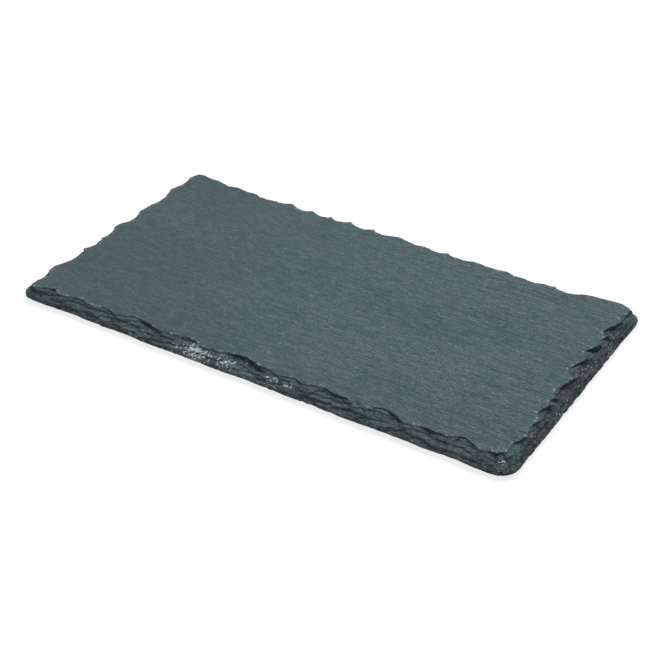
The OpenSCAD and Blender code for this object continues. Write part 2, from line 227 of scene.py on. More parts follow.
def turned(points, side):
    """Plan points turned from the front to where their side is."""
    x, y = points[..., 0], points[..., 1]
    return {FRONT: points, RIGHT: np.stack([-y, x], -1), REAR: -points,
            LEFT: np.stack([y, -x], -1)}[side]


def make_columns():
    """Places round the board, and their sides, outer points and core points."""
    parts = []
    for side in range(4):
        count = round(RUNS[side] / PITCH)
        place = np.arange(count) / count * RUNS[side]
        parts.append((STARTS[side] + place, np.full(count, side),
                      turned(outline(side, place, 0, CORNER), side),
                      turned(outline(side, place, CORE_INSET, CORE_RADIUS), side)))
    return [np.concatenate(part) for part in zip(*parts)]


places, sides, outer, inner = make_columns()
columns = len(places)


def plan(inset):
    """Plan points for insets given as (columns,) or (rings, columns)."""
    return outer + (inner - outer) * (inset / CORE_INSET)[..., None]


def around(a, b):
    """The shorter way round the board from b to a."""
    gap = a - b
    return gap - PERIMETER * np.round(gap / PERIMETER)


def along_sides(values):
    """A value for each column that blends from side to corner to side."""
    at_sides, at_corners = values
    blended = np.empty(columns)
    for side in range(4):
        here = sides == side
        spot = (places[here] - STARTS[side]) / RUNS[side]
        corner = np.where(spot < 0.5, at_corners[side], at_corners[(side + 1) % 4])
        blend = smooth(np.maximum(0, 1 - np.minimum(spot, 1 - spot) / CORNER_BLEND))
        blended[here] = at_sides[side] * (1 - blend) + corner * blend
    return blended


# Seeded waves and noise
def smooth(t):
    return t * t * (3 - 2 * t)


def ramp(value, start, run):
    """0 up to the start, then up to 1 over the run."""
    return np.clip((value - start) / run, 0, 1)


def ring_noise(length):
    """Noise from -1 to 1 along the edge, closed on itself."""
    count = max(3, round(PERIMETER / length))
    knots = rng.uniform(-1, 1, count)
    spot = (places / PERIMETER * count) % count
    low = np.floor(spot).astype(int)
    t = smooth(spot - low)
    return knots[low % count] * (1 - t) + knots[(low + 1) % count] * t


def add_waves(line, waves):
    """A line with seeded waves added."""
    for length, height in waves:
        line = line + height * ring_noise(length)
    return line


def sheet_noise(u, v, size_u, size_v, closed=0.0):
    """Noise from -1 to 1 over a plane; closed is the length it repeats over in u."""
    count_u = round(closed / size_u) if closed else int(np.ptp(u) / size_u) + 3
    step_u = closed / count_u if closed else size_u
    low_u = 0.0 if closed else u.min()
    low_v = v.min()
    count_v = int((v.max() - low_v) / size_v) + 3
    knots = rng.uniform(-1, 1, (count_u, count_v))
    spot_u, spot_v = (u - low_u) / step_u, (v - low_v) / size_v
    cell_u, cell_v = np.floor(spot_u).astype(int), np.floor(spot_v).astype(int)
    share_u, share_v = smooth(spot_u - cell_u), smooth(spot_v - cell_v)
    here, ahead = cell_u % count_u, (cell_u + 1) % count_u
    low = knots[here, cell_v] * (1 - share_u) + knots[ahead, cell_v] * share_u
    high = knots[here, cell_v + 1] * (1 - share_u) + knots[ahead, cell_v + 1] * share_u
    return low * (1 - share_v) + high * share_v


def face_noise(inset, size):
    """Sheet noise over the broken face, for insets given as (rings, columns)."""
    return sheet_noise(np.broadcast_to(places, inset.shape), inset, *size, PERIMETER)


def shell(gap, behind, ahead, power=2.0):
    """A flake is deepest at its place and ends sharply on each side: 1 down to 0."""
    spot = np.abs(np.where(gap < 0, gap / behind, gap / ahead))
    return np.maximum(0, 1 - spot ** power)


def nibble(count, reach, depth):
    """Small sharp-ended bites out of an edge line."""
    total = np.zeros(columns)
    for place in rng.uniform(0, PERIMETER, count):
        size = rng.uniform(*reach)
        deepest = rng.uniform(*depth)
        gap = around(places, place)
        total = np.maximum(total, deepest * shell(gap, size * BITE_BEHIND_SHARE, size))
    return total


# The rim and the lower edge
def straight_lines():
    """Insets of the lower edge and of the plain rim, before any bite or flake."""
    waves = sum((np.sin(2 * math.pi * turns * places / PERIMETER + math.radians(start))
                 for turns, start in WAVER_WAVES), start=len(WAVER_WAVES))
    lower = WAVER * waves / (2 * len(WAVER_WAVES)) + along_sides(DRIFTS)
    return lower, EDGE_RUN * along_sides(RUN_SHARES) + lower + RIM_SETBACK


def build_lower_edge():
    """The lower edge: it wavers, has small bites and bulges a little at the corners."""
    corner_gap = np.min([np.abs(around(places, start)) for start in STARTS], axis=0)
    near = np.clip(1 - corner_gap / (CORNER_BULGE_SHARE * HALF_CORNER), 0, 1)
    furthest_out = LEAST_INSET - CORNER_BULGE * smooth(near)
    edge = add_waves(lower, LOWER_WAVES) - LOWER_SHIFT + nibble(*LOWER_BITES)
    return np.maximum(furthest_out, edge)


Flake = namedtuple("Flake", "side place behind ahead depth floor lip")


def main_flakes():
    """Every main flake with its place and sizes in millimetres."""
    rows = []
    for side in range(4):
        for place, behind, ahead, depth, floor, lip in FLAKE_SHARES[side]:
            rows.append(Flake(side, STARTS[side] + place * RUNS[side], behind * FLAKE_REACH,
                              ahead * FLAKE_REACH, depth * FLAKE_DEPTH,
                              floor * THICK * FLOOR_SHARES[side], LIP * lip))
    return rows


def gap_to(flake):
    """How far each column is ahead of a flake's place."""
    return around(places + wander, flake.place)


def flake_line(flake):
    """The line that a flake would leave as the rim."""
    arc = shell(gap_to(flake), flake.behind, flake.ahead, ARC_POWERS[flake.side])
    return plain + flake.depth * arc


lower, plain = straight_lines()
lower_edge = build_lower_edge()
flakes = main_flakes()
wander = add_waves(0, WANDER_WAVES)
flake_lines = [flake_line(flake) for flake in flakes]
rim = np.maximum(plain, np.max(flake_lines, axis=0))
rim = add_waves(rim + nibble(*RIM_BITES), RIM_WAVES)


# The broken face
def nearest_cells(u, v, size_u, size_v):
    """The nearest middle of a jittered cell for each point of the closed sheet."""
    count_u = round(PERIMETER / size_u)
    size_u = PERIMETER / count_u
    count_v = int(v.max() / size_v) + 4
    row, line = np.meshgrid(np.arange(count_u), np.arange(count_v), indexing="ij")
    middle_u = (row + rng.uniform(*CELL_JITTER, row.shape)) * size_u
    middle_v = (line - 1 + rng.uniform(*CELL_JITTER, row.shape)) * size_v
    at_u, at_v = np.floor(u / size_u).astype(int), np.floor(v / size_v).astype(int) + 1
    best = np.full(u.shape, np.inf)
    index = np.zeros(u.shape, dtype=int)
    for step_u in (-1, 0, 1):
        for step_v in (-1, 0, 1):
            i = (at_u + step_u) % count_u
            j = np.clip(at_v + step_v, 0, count_v - 1)
            gap = np.hypot(around(u, middle_u[i, j]) / size_u, (v - middle_v[i, j]) / size_v)
            index = np.where(gap < best, i * count_v + j, index)
            best = np.minimum(best, gap)
    return index, middle_u.ravel(), middle_v.ravel()


def chips(base, inset, length, width, slant, follow, jump, lean):
    """Break a face into chips, each at its own height and lean."""
    slant = slant * along_sides(SLANTS)
    u = places + slant * inset + CHIP_WARP_ALONG * face_noise(inset, CHIP_WARP_ALONG_SIZE)
    v = inset + CHIP_WARP_ACROSS * face_noise(inset, CHIP_WARP_ACROSS_SIZE)
    index, middle_u, middle_v = nearest_cells(u % PERIMETER, v, length, width)

    # Each chip takes its height from the face at its own middle
    column = np.searchsorted(places, middle_u % PERIMETER) % columns
    column = np.searchsorted(places, (middle_u - slant[column] * middle_v) % PERIMETER) % columns
    level = np.array([np.interp(middle_v[i], inset[:, c], base[:, c])
                      for i, c in enumerate(column)])
    count = len(level)
    level = (level + rng.uniform(-jump, jump, count))[index]
    lean_u = (rng.uniform(-lean, lean, count))[index] * around(u, middle_u[index])
    lean_v = (rng.uniform(-lean, lean, count))[index] * (v - middle_v[index])
    return level + follow * (base - level) + lean_u + lean_v


def wall_growth(flake, gap):
    """Share of a flake's wall height along the flake."""
    if flake.side == RIGHT:
        # A wedge starts at the flake's place and is highest past its middle
        rise = np.clip(gap / (WEDGE_RISE_SHARE * flake.ahead), 0, 1) ** WEDGE_POWER
        fall = smooth(ramp(gap / flake.ahead, *WEDGE_FALL_SHARES))
        return WEDGE_SHARE * rise * (1 - WEDGE_END_SHARE * fall)
    if flake.side == FRONT:
        # The wall grows ahead from a feathered end
        run = FEATHER_BEHIND_SHARE * flake.behind + FEATHER_AHEAD_SHARE * flake.ahead
        grown = smooth(np.clip((gap + flake.behind) / run, 0, 1))
        return FEATHER_SHARE + FRONT_SHARE * grown
    arc = shell(gap, flake.behind, flake.ahead, ARC_POWERS[flake.side])
    return REAR_SHARE + REAR_ARC_SHARE * arc


def main_face(inset):
    """The face that the main flakes leave, for insets given as (rings, columns)."""
    warp = FACE_WARP * face_noise(inset, FACE_WARP_SIZE)
    d = inset + warp * ramp(rim - inset, 0, FACE_WARP_RUN)
    start = add_waves(FACE_START, FACE_START_WAVES)
    share = ramp(d, lower_edge, plain - lower_edge)
    height = start + (THICK - start) * share ** np.take(PLAIN_POWERS, sides)
    uneven = np.clip(add_waves(UNEVEN, UNEVEN_WAVES), *UNEVEN_RANGE)
    for flake, line in zip(flakes, flake_lines):
        gap = gap_to(flake)
        inside = (gap > -flake.behind) & (gap < flake.ahead)
        wall = flake.lip * wall_growth(flake, gap) * (uneven if flake.side == FRONT else 1)
        rise = THICK - wall - flake.floor
        face = flake.floor + rise * ramp(d, 0, line) ** LEDGE_POWERS[flake.side]
        outside = ramp(d, line, FLAKE_RISE_RUN) * THICK
        height = np.where(inside, np.minimum(height, face + outside), height)
    return height


def terraces(height, inset):
    """Draw the face into ledges and risers at the layers of the stone."""
    shift = LEDGE_SHIFT * face_noise(inset, LEDGE_SHIFT_SIZE)
    inside = np.clip(height + shift, 0, THICK - JUST_BELOW)
    layer = np.searchsorted(LAYERS, inside, side="right") - 1
    low, gap = LAYERS[layer], LAYERS[layer + 1] - LAYERS[layer]
    stepped = low + gap * ((inside - low) / gap) ** LEDGE_POWER - shift
    share = np.clip(LEDGE_SHARE + LEDGE_SWING * face_noise(inset, LEDGE_SIZE), 0, LEDGE_MOST)
    return height + share * ramp(rim - inset, 0, LEDGE_END_RUN) * (stepped - height)


def broken_face(inset):
    """Height over the underside for insets given as (rings, columns)."""
    base = main_face(inset)
    height = terraces(base, inset)
    roughness = along_sides(ROUGHNESS)
    keep = (1 - CALM_HIGH_SHARE * ramp(base, *CALM_HIGH_RAMP)) * roughness
    large = height + (chips(height, inset, **LARGE_CHIPS) - height) * roughness
    highest = np.minimum(height + LARGE_CHIP_UP, THICK - FACE_HIGH)
    height = np.clip(large, height - LARGE_CHIP_DOWN, highest)
    small = chips(height, inset, **SMALL_CHIPS)
    small = np.clip(small, height - SMALL_CHIP_DOWN, height + SMALL_CHIP_UP)
    height = height + keep * (small - height)
    wave = ROUGH_WAVE * face_noise(inset, ROUGH_SIZE)
    grain = ROUGH_GRAIN * rng.uniform(-1, 1, inset.shape)
    return height + (wave + grain) * keep


def build_face():
    """Rings of the broken face up to the wall: insets and heights."""
    share = np.linspace(0, 1, FACE_RINGS)[:, None]
    insets = lower_edge + (rim - WALL_WIDTH - lower_edge) * share
    heights = np.clip(broken_face(insets), FACE_LOW, THICK - FACE_HIGH)
    heights[0] = np.maximum(heights[0], FACE_START_LOW)
    return insets, heights


def wall_rings(foot):
    """Rings of the wall under the rim, from its ragged foot: insets and heights."""
    insets, heights = [], []
    for step in range(1, WALL_RINGS + 1):
        share = step / WALL_RINGS
        ragged = 0 if share == 1 else RAGGED * rng.uniform(-1, 1, columns)
        insets.append(rim - WALL_WIDTH * (1 - share) + ragged)
        heights.append(foot + (THICK - foot) * share)
    return insets, heights


def turn_rings():
    """Rings between the underside and the broken face: insets and heights."""
    insets = [lower_edge + inset for inset in TURN_INSETS]
    heights = [np.full(columns, height) for height in TURN_HEIGHTS]
    heights[-1] = heights[-1] + RAGGED * rng.uniform(-1, 1, columns)
    return insets, heights


# The split top and underside
def plane_noise(x, y, kind):
    height, length, width = kind
    return height * sheet_noise(x, y, length, width)


def relief(x, y):
    """How far the riven top lies below its highest plane."""
    broad = plane_noise(x, y, TOP_WAVES)
    ribs = plane_noise(x + RIB_BEND * np.sin(y / RIB_BEND_RUN), y + RIB_TURN * x, TOP_RIBS)
    fine = plane_noise(x, y + FINE_TURN * x, TOP_FINE)
    return TOP_LOW + broad + ribs + fine


def under_relief(x, y):
    """How far the split underside lies above its lowest plane."""
    rise = UNDER_RISE + plane_noise(x, y, UNDER_WAVES) + plane_noise(x, y, UNDER_RIBS)
    for foot_x, foot_y in foot_places():
        away = np.hypot(x - foot_x, y - foot_y)
        rise = rise * smooth(ramp(away, FOOT_CLEAR, FOOT_FADE))
    return rise


def foot_places():
    """Middles of the feet in plan."""
    boxes = [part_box(name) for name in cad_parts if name.startswith("foot_")]
    return [(low + high).xy / 2 / MM for low, high in boxes]


def inside_grid(pitch, reach):
    """Jittered points over the core rectangle, grown by reach."""
    nx = int((LENGTH - 2 * CORE_INSET + 2 * reach) / pitch)
    ny = int((WIDTH - 2 * CORE_INSET + 2 * reach) / pitch)
    x, y = np.meshgrid(np.arange(nx) - (nx - 1) / 2, np.arange(ny) - (ny - 1) / 2)
    x = x * pitch + (np.arange(ny)[:, None] % 2) * pitch / 2
    spots = np.stack([x.ravel(), y.ravel() * pitch], -1)
    return spots + rng.uniform(-GRID_JITTER, GRID_JITTER, spots.shape) * pitch


def top_spots():
    """Points of the top behind the rim: rings, then a loose grid."""
    band = [plan(rim + BAND_START)]
    for share in BAND_SHARES:
        inset = rim + BAND_START + (CORE_INSET - rim - BAND_START) * share
        band.append(plan(inset)[::BAND_STEP])
    return np.concatenate(band + [inside_grid(TOP_PITCH, TOP_REACH)])


def under_spots():
    """Points of the underside inside its border: rings, then a loose grid."""
    band = [plan(np.full(columns, inset))[::step] for inset, step in UNDER_RINGS]
    return np.concatenate(band + [inside_grid(UNDER_PITCH, UNDER_REACH)])


def fill(border, spots):
    """Triangles between a closed border and the loose points inside it."""
    count = len(border)
    points = [Vector(p) for p in np.concatenate([border, spots])]
    loop = [(i, (i + 1) % count) for i in range(count)]
    made, _, faces, origin, _, _ = delaunay_2d_cdt(points, loop, [], FILL_INSIDE, FILL_GAP)
    if len(made) != len(points):
        raise ValueError("the border of the stone crosses itself")
    back = [where[0] for where in origin]
    return [tuple(back[i] for i in face) for face in faces]


def ring_faces(rings):
    """Four-sided faces between rings that lie one above the other."""
    faces = []
    for base in range(0, (rings - 1) * columns, columns):
        for i in range(columns):
            j = (i + 1) % columns
            faces.append((base + i, base + j, base + columns + j, base + columns + i))
    return faces


def build_slab():
    """The stone's mesh, with the marks that its material reads."""
    insets, heights = build_face()
    painted_crevice_shade, patches = painted_shade_marks(insets, heights)
    wall_insets, wall_heights = wall_rings(heights[-1])
    turn_insets, turn_heights = turn_rings()
    ring_plans = plan(np.concatenate([turn_insets, insets, wall_insets]))
    ring_heights = np.concatenate([turn_heights, heights, wall_heights])

    # This relief isn't used, but its draws keep the later ones as they are
    relief(*ring_plans[RIM_RING].T)
    top = top_spots()
    top_triangles = fill(ring_plans[RIM_RING], top)
    top_heights = THICK - relief(*np.concatenate([ring_plans[RIM_RING], top]).T)
    ring_heights[RIM_RING] = top_heights[:columns]
    under = under_spots()
    under_triangles = fill(ring_plans[0], under)

    points = np.concatenate([
        np.column_stack([ring_plans.reshape(-1, 2), ring_heights.ravel()]),
        np.column_stack([top, top_heights[columns:]]),
        np.column_stack([under, under_relief(*under.T)])])
    faces = ring_faces(len(ring_plans))
    edge_faces = len(faces)
    faces += [tuple(RIM_RING * columns + i for i in face) for face in top_triangles]
    skipped = len(ring_plans) * columns + len(top) - columns
    faces += [tuple(i if i < columns else skipped + i for i in reversed(face))
              for face in under_triangles]

    mesh = bpy.data.meshes.new("slate_stone")
    mesh.from_pydata([tuple(p) for p in points * MM + np.array([0, 0, slab_low.z])], [], faces)
    mesh.validate()
    smooth_faces = np.arange(len(mesh.polygons)) >= edge_faces
    mesh.polygons.foreach_set("use_smooth", smooth_faces)
    for name, values in stone_marks(points, painted_crevice_shade, patches, heights[-1]).items():
        attribute = mesh.attributes.new(name, "FLOAT", "POINT")
        attribute.data.foreach_set("value", values.astype(np.float32))
    return mesh


# Marks for the stone's material
# Painted shade: in crevices and hollows of the broken face, on its steep bits, and in patches under
# the rim
CREVICE_SHARE, CREVICE_BLUR, CREVICE_RAMP = 0.75, (1, 2), (0.03, 0.16)
HOLLOW_BLUR, HOLLOW_RAMP = (4, 4), (0.04, 0.34)
STEEP_RAMP, SHORTEST_RUN = (1.0, 2.0), 0.02
SHADOW_PATCH_WAVES, SHADOW_PATCH_SHARE = ((13, 0.8), (3.5, 0.4)), 0.85
SHADOW_PATCH_REACH_WAVES = ((5, 0.4),)
CREVICE_BROKEN_SHARE = 0.9

# A ramp of these is the drop below the top where it starts, and its length
BROKEN_RAMP = (0.15, 1.3)
GRAINY_BROKEN_START = 0.25
GRAINY_BROKEN_RUN, PATCHES_CUT_RUN = 2.1, 1.5
GRAINY_RAMP = (0.5, 1.6)
PAINTED_LIGHT_LOW, LIGHTER_RAMP = 0.18, (2.0, 2.2)
PAINTED_SHADE_MIDDLE, MIDDLE_RAMP, MIDDLE_END_SHARE, MIDDLE_END_RAMP = 0.22, (1.0, 1.2), 0.6, (4.3, 0.8)
TALL_WALL_RAMP = (0.1, 0.6)
NICKS = 170  # light nicks on the rim, besides those at the right side's wedges
NICK_RANGE, NICK_REACH = (0.4, 1), (0.7, 0.9)
LOW_NICKS = 90  # and at the lower edge
LOW_NICK_RANGE, LOW_NICK_REACH = (0.3, 0.9), (0.5, 0.8)
LOW_NICK_SHARES = (0.5, 0.8, 1.0, 0.9, 0.5)  # on the lowest rings
NICK_SHARES = {RIM_RING - 1: 0.6, RIM_RING: 1, RIM_RING + 1: 0.7}
WORN_SHARES = {RIM_RING: 1, RIM_RING + 1: 0.9}  # the front's rim is worn
WORN_SPARSE_SHARE = 0.3
WORN_REACH, WORN_FADE = 25, 15  # how far behind the front edge it ends, and fades

# Chalky rubbed patches: centre and reach in plan, strength
CHALK = ((118.4, -63.1, 2.6, 2.0, 0.36), (-25.7, -65.0, 9.5, 4.8, 1.1),
         (-11.6, -64.8, 7.0, 3.8, 0.54), (12.8, -66.0, 5.0, 2.4, 0.35),
         (-36.0, -66.0, 5.0, 1.8, 0.34), (21.0, -66.0, 3.0, 1.5, 0.34))


def blur(field, wide, high):
    """Mean over a window round each point."""
    pad = np.concatenate([field[:, -wide:], field, field[:, :wide]], axis=1)
    pad = np.pad(pad, ((high, high), (0, 0)), mode="edge")
    total = np.zeros_like(field)
    for i in range(2 * high + 1):
        for j in range(2 * wide + 1):
            total += pad[i:i + field.shape[0], j:j + field.shape[1]]
    return total / ((2 * high + 1) * (2 * wide + 1))


def painted_shade_marks(insets, heights):
    """How dark the painted shade of each point of the broken face is, and its patches of painted
    shadow.
    """
    narrow = CREVICE_SHARE * ramp(blur(heights, *CREVICE_BLUR) - heights, *CREVICE_RAMP)
    broad = ramp(blur(heights, *HOLLOW_BLUR) - heights, *HOLLOW_RAMP)
    steep = np.diff(heights, axis=0) / np.maximum(np.diff(insets, axis=0), SHORTEST_RUN)
    steep = ramp(np.concatenate([steep[:1], steep]), *STEEP_RAMP) * along_sides(STEEP_PAINTED_SHADES)

    # Patches of painted shadow just below the rim, which reach down unevenly
    patches = np.clip(add_waves(along_sides(SHADOW_PATCH_SHARES), SHADOW_PATCH_WAVES), 0, 1)
    reach = along_sides(SHADOW_PATCH_REACHES) * add_waves(1, SHADOW_PATCH_REACH_WAVES)
    below = (rim - WALL_WIDTH - insets) / reach
    shaded = SHADOW_PATCH_SHARE * np.clip(1 - below, 0, 1) * patches * along_sides(SHADOW_PATCH_MARKS)
    return np.max([narrow, broad, steep, shaded], axis=0), patches


def nick_line(spots, strengths, reach):
    """Nicks of an edge line at the given spots."""
    line = np.zeros(columns)
    for place in spots:
        strength = rng.uniform(*strengths)
        line = np.maximum(line, strength * shell(around(places, place), *reach))
    return line


def ring(number):
    """Where one ring is among the stone's points."""
    return slice(number * columns, (number + 1) * columns)


def nick_mark(total):
    tips = [flake.place for flake in flakes if flake.side == RIGHT]
    spots = np.concatenate([rng.uniform(0, PERIMETER, NICKS), tips])
    nicks = nick_line(spots, NICK_RANGE, NICK_REACH)
    low_nicks = nick_line(rng.uniform(0, PERIMETER, LOW_NICKS), LOW_NICK_RANGE, LOW_NICK_REACH)
    mark = np.zeros(total)
    for number, share in enumerate(LOW_NICK_SHARES):
        mark[ring(number)] = low_nicks * share
    for number, share in NICK_SHARES.items():
        mark[ring(number)] = nicks * share
    return mark


def worn_mark(total, y):
    """The rubbed rim along the front edge."""
    mark = np.zeros(total)
    for number, share in WORN_SHARES.items():
        mark[ring(number)] = share
    sparse = (RIM_RING + 2) * columns
    mark[sparse:sparse + len(places[::BAND_STEP])] = WORN_SPARSE_SHARE
    return mark * np.clip((y.min() + WORN_REACH - y) / WORN_FADE, 0, 1)


def chalk_mark(x, y):
    mark = np.zeros(len(x))
    for middle_x, middle_y, reach_x, reach_y, strength in CHALK:
        away = np.hypot((x - middle_x) / reach_x, (y - middle_y) / reach_y)
        mark = np.maximum(mark, strength * (1 - away))
    return np.clip(mark, 0, 1)


def stone_marks(points, painted_crevice_shade, patches, foot):
    """The marks of every point, by the names that the material reads."""
    x, y, z = points.T
    total = len(points)
    drop = THICK - z[:RIM_RING * columns]
    grainy = np.tile(along_sides(GRAINY_SHARES), RIM_RING)

    def from_ring(first, values):
        """Values from one ring on, and 0 for all other points."""
        mark = np.zeros(total)
        mark[first * columns:first * columns + values.size] = values.ravel()
        return mark

    dark = from_ring(TURN_RINGS, painted_crevice_shade)
    # Painted shade on the wall under the rim, darker where the wall is taller
    wall = np.tile(ramp(THICK - foot, *TALL_WALL_RAMP), WALL_RINGS - 1)
    run = GRAINY_BROKEN_RUN - PATCHES_CUT_RUN * np.tile(patches, RIM_RING)
    broken = ramp(drop, *BROKEN_RAMP) * (1 - grainy) + ramp(drop, GRAINY_BROKEN_START, run) * grainy
    broken = np.maximum(from_ring(0, broken), CREVICE_BROKEN_SHARE * dark)

    # Painted light and shade: each side of the broken stone lighter or darker for how light falls
    # on it, its low part lighter, and the grainy right side darker in its middle
    shade = np.ones(total)
    shade[:(RIM_RING + 1) * columns] = np.tile(along_sides(SIDE_PAINTED_LIGHT), RIM_RING + 1)
    shade[:drop.size] *= 1 + PAINTED_LIGHT_LOW * (1 - grainy) * ramp(drop, *LIGHTER_RAMP)
    middle = ramp(drop, *MIDDLE_RAMP) * (1 - MIDDLE_END_SHARE * ramp(drop, *MIDDLE_END_RAMP))
    shade[:drop.size] *= 1 - PAINTED_SHADE_MIDDLE * grainy * middle
    return {"broken": broken, "painted_crevice_shade": dark, "shade": shade,
            "wall": from_ring(TURN_RINGS + FACE_RINGS, wall),
            "grainy": from_ring(0, grainy * ramp(drop, *GRAINY_RAMP)),
            "nick": nick_mark(total), "worn": worn_mark(total, y),
            "scuff": chalk_mark(x, y) * broken}


# Materials
class Nodes:
    """Short words for building one material's nodes."""

    def __init__(self, name):
        self.material = bpy.data.materials.new(name)
        self.material.use_nodes = True
        self.tree = self.material.node_tree
        self.shader = self.tree.nodes["Principled BSDF"]
        self.spot = self.add("ShaderNodeTexCoord").outputs["Object"]

    def add(self, kind, inputs=(), **settings):
        """Add a node. Each input is linked to a socket or set to a value."""
        node = self.tree.nodes.new(kind)
        for key, value in settings.items():
            setattr(node, key, value)
        for key, source in dict(inputs).items():
            self.link(source, node.inputs[key])
        return node

    def link(self, source, target):
        if isinstance(source, bpy.types.NodeSocket):
            self.tree.links.new(source, target)
        else:
            target.default_value = source

    def finish(self, **inputs):
        """Feed the shader: Base_Color=colour is its Base Color input."""
        for name, source in inputs.items():
            self.link(source, self.shader.inputs[name.replace("_", " ")])
        return self.material

    def stretch(self, scale, turn=0.0):
        """Object coordinates, turned in plan, in features per metre."""
        inputs = {"Vector": self.spot, "Scale": [1 / s for s in scale], "Rotation": (0, 0, turn)}
        return self.add("ShaderNodeMapping", inputs, vector_type="TEXTURE").outputs["Vector"]

    def noise(self, scale, detail=2, rough=0.6, warp=0.0, turn=0.0):
        inputs = {"Vector": self.stretch(scale, turn), "Scale": 1.0, "Detail": detail,
                  "Roughness": rough, "Distortion": warp}
        return self.add("ShaderNodeTexNoise", inputs).outputs["Fac"]

    def specks(self, scale, outer, inner):
        """Small round specks: 0 further than outer from a cell's middle, 1 inside inner."""
        cells = self.add("ShaderNodeTexVoronoi", {"Vector": self.stretch(scale), "Scale": 1.0})
        return self.between(cells.outputs["Distance"], outer, inner)

    def mark(self, name):
        return self.add("ShaderNodeAttribute", attribute_name=name).outputs["Fac"]

    def between(self, value, low, high, to_low=0.0, to_high=1.0):
        inputs = {"Value": value, "From Min": low, "From Max": high,
                  "To Min": to_low, "To Max": to_high}
        return self.add("ShaderNodeMapRange", inputs, clamp=True).outputs["Result"]

    def calculate(self, kind, a, b=0.0):
        return self.add("ShaderNodeMath", {0: a, 1: b}, operation=kind).outputs["Value"]

    def plus(self, a, b):
        return self.calculate("ADD", a, b)

    def times(self, a, b):
        return self.calculate("MULTIPLY", a, b)

    def swing(self, value, weight, low=0.3, high=0.7):
        """A noise turned into a swing from -weight to weight."""
        return self.times(self.between(value, low, high, -1, 1), weight)

    def swings(self, *pairs):
        """The sum of several swings, each a noise and its weight."""
        total = self.swing(*pairs[0])
        for pair in pairs[1:]:
            total = self.plus(total, self.swing(*pair))
        return total

    def weighted(self, a, weight_a, b, weight_b):
        return self.plus(self.times(a, weight_a), self.times(b, weight_b))

    def mix(self, share, a, b, kind="MIX"):
        inputs = {"Factor": share, "A": a, "B": b}
        node = self.add("ShaderNodeMix", inputs, data_type="RGBA", blend_type=kind)
        return node.outputs["Result"]

    def paint(self, base, colour, share, strength):
        """The base with a colour over it, as strong as share times strength."""
        return self.mix(self.times(share, strength), base, colour)

    def bump(self, height, distance, strength):
        inputs = {"Height": height, "Distance": distance, "Strength": strength}
        return self.add("ShaderNodeBump", inputs).outputs["Normal"]


def rgb(red, green, blue):
    return (red, green, blue, 1.0)


def grey(level):
    return rgb(level, level, level)


# Colours of the stone
SPLIT_DARK, SPLIT_LIGHT = rgb(0.0450, 0.078, 0.086), rgb(0.158, 0.209, 0.224)
SPLIT_PAINTED_SHADE = rgb(0.016, 0.022, 0.026)
FLECK_LIGHT, FLECK_DARK = rgb(0.27, 0.37, 0.40), rgb(0.03, 0.042, 0.046)
GREEN_STONE, BLUE_STONE = rgb(0.066, 0.102, 0.101), rgb(0.076, 0.101, 0.121)
GRITTY_STONE = rgb(0.101, 0.107, 0.117)
# Painted shade for crevices and for the wall under the rim, and the dark of ragged hollows
CREVICE_PAINTED_SHADE = rgb(0.013, 0.017, 0.020)
HOLLOW_DARK = rgb(0.020, 0.025, 0.031)
WALL_PAINTED_SHADE = rgb(0.016, 0.021, 0.027)
SPARK_LIGHT = rgb(0.48, 0.56, 0.57)
NICK_LIGHT = rgb(0.46, 0.57, 0.60)
CHALK_DUST, CHALK_WHITE = rgb(0.18, 0.23, 0.235), rgb(0.60, 0.72, 0.74)

# Stretches of the board over which the split top changes
CONTRAST_SPAN, STREAK_SPAN = (-0.08, 0.08), (-0.06, 0.05)
# Painted shade: the split top darker towards its left end and towards the rear
LEFT_SHADE_SPAN, REAR_SHADE_SPAN = (-0.09, -0.01), (-0.01, 0.055)


def split_colour(m, ribs, grain):
    """Split slate: clouds, long silky ribs, fine grain and streaks, with painted shade towards the
    left end and the rear.
    """
    place = m.add("ShaderNodeSeparateXYZ", {"Vector": m.spot})
    x, y = place.outputs["X"], place.outputs["Y"]
    clouds = m.noise((9, 22, 22), detail=3, rough=0.55)
    long_ribs = m.noise((50, 330, 330), detail=3, rough=0.5, warp=1.2, turn=-0.03)
    tone = m.swings((clouds, 0.13), (ribs, 0.42), (long_ribs, 0.07), (grain, 0.62))
    silk = m.noise((100, 1000, 1000), warp=1.2)
    silk = m.calculate("ABSOLUTE", m.calculate("SUBTRACT", silk, 0.5))
    tone = m.plus(tone, m.times(m.between(silk, 0.0, 0.035, 1.0, -0.25), 0.26))
    tone = m.times(tone, m.between(x, *CONTRAST_SPAN, 1.05, 1.75))
    streaks = m.noise((45, 900, 900), rough=0.5, warp=0.4, turn=-0.01)
    streaks = m.times(m.between(streaks, 0.57, 0.68), m.between(x, *STREAK_SPAN, 0.2, 0.8))
    tone = m.between(m.calculate("SUBTRACT", tone, streaks), -1.2, 1.2)
    colour = m.mix(m.calculate("POWER", tone, 1.6), SPLIT_DARK, SPLIT_LIGHT)
    # Painted shade, darker towards the left end and towards the rear
    painted_shade_share = m.plus(m.between(x, *LEFT_SHADE_SPAN, 0.085, 0.0), m.between(y, *REAR_SHADE_SPAN, 0.0, 0.055))
    return m.mix(painted_shade_share, colour, SPLIT_PAINTED_SHADE)


def add_flecks(m, colour):
    """Light flecks, more of them on the worn rim, and rarer dark ones."""
    fleck = m.specks((420, 1500, 1500), 0.30, 0.12)
    rare = m.noise((130, 260, 260))
    rare = m.between(m.plus(rare, m.times(m.mark("worn"), 0.12)), 0.57, 0.66)
    colour = m.paint(colour, FLECK_LIGHT, m.times(fleck, rare), 0.55)
    dot = m.specks((150, 210, 210), 0.075, 0.045)
    seldom = m.between(m.noise((40, 60, 60), detail=1, rough=0.5), 0.62, 0.66)
    return m.paint(colour, FLECK_DARK, m.times(dot, seldom), 0.7)


